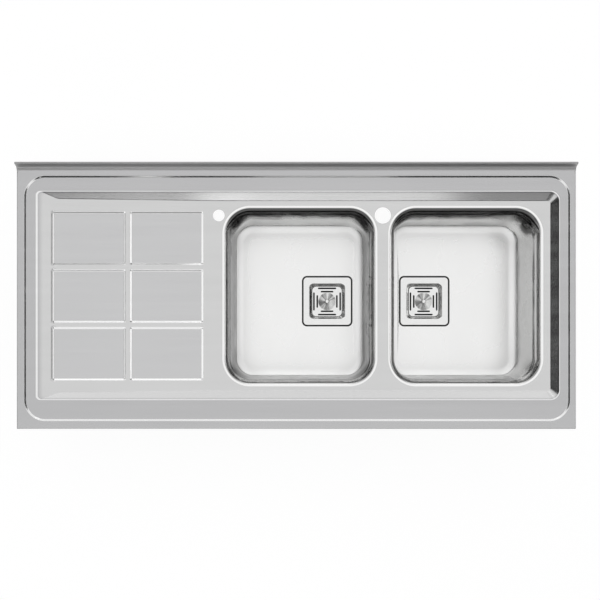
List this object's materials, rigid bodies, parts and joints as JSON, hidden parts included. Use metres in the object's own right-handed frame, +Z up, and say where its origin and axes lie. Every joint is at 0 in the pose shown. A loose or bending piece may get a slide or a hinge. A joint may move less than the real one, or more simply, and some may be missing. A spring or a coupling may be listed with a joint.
{
  "type": "kitchen sink",
  "caption": "Sit-on stainless kitchen sink: drainer with raised pads on the left, deep rectangular bowls, square strainer wastes with lift-out trays and plugs, tap hole, rear upstand.",
  "frame": {"origin": "middle of the rear seat strip, on the plane where the skirt rests on the cabinet", "axes": "+X to the user's right along the sink, +Y towards the wall, +Z up"},
  "size_m": [1.2, 0.57, 0.292],
  "materials": {
    "satin_steel": "satin",
    "bright_steel": "bright",
    "galvanised": "galvanised",
    "deadener": "matte",
    "waste_plastic": "satin",
    "seal_rubber": "matte"
  },
  "bodies": {
    "sink": {"deck": "satin_steel", "left_bowl": "satin_steel", "right_bowl": "satin_steel", "front_rail": "galvanised", "rear_rail": "galvanised", "left_rail": "galvanised", "right_rail": "galvanised", "drainer_rail": "galvanised", "drainer_deadeners": "deadener", "fixing_brackets": "galvanised", "left_strainer_body": "bright_steel", "left_flange_seal": "seal_rubber", "left_under_seal": "seal_rubber", "left_waste_body": "waste_plastic", "left_strainer_screws": "bright_steel", "left_bowl_deadeners": "deadener", "right_strainer_body": "bright_steel", "right_flange_seal": "seal_rubber", "right_under_seal": "seal_rubber", "right_waste_body": "waste_plastic", "right_strainer_screws": "bright_steel", "right_bowl_deadeners": "deadener"},
    "left_tray": {"left_strainer_tray": "bright_steel"},
    "left_plug": {"left_plug_stem": "bright_steel", "left_plug_seal": "seal_rubber", "left_plug_nut": "bright_steel", "left_plug_clip": "bright_steel"},
    "right_tray": {"right_strainer_tray": "bright_steel"},
    "right_plug": {"right_plug_stem": "bright_steel", "right_plug_seal": "seal_rubber", "right_plug_nut": "bright_steel", "right_plug_clip": "bright_steel"}
  },
  "joints": [
    {"name": "left_tray_lift", "type": "slide", "parent": "sink", "child": "left_tray", "axis": [0, 0, 1], "range_m": [0, 0.25]},
    {"name": "left_plug_lift", "type": "slide", "parent": "left_tray", "child": "left_plug", "axis": [0, 0, 1], "range_m": [0, 0.009]},
    {"name": "right_tray_lift", "type": "slide", "parent": "sink", "child": "right_tray", "axis": [0, 0, 1], "range_m": [0, 0.25]},
    {"name": "right_plug_lift", "type": "slide", "parent": "right_tray", "child": "right_plug", "axis": [0, 0, 1], "range_m": [0, 0.009]}
  ]
}
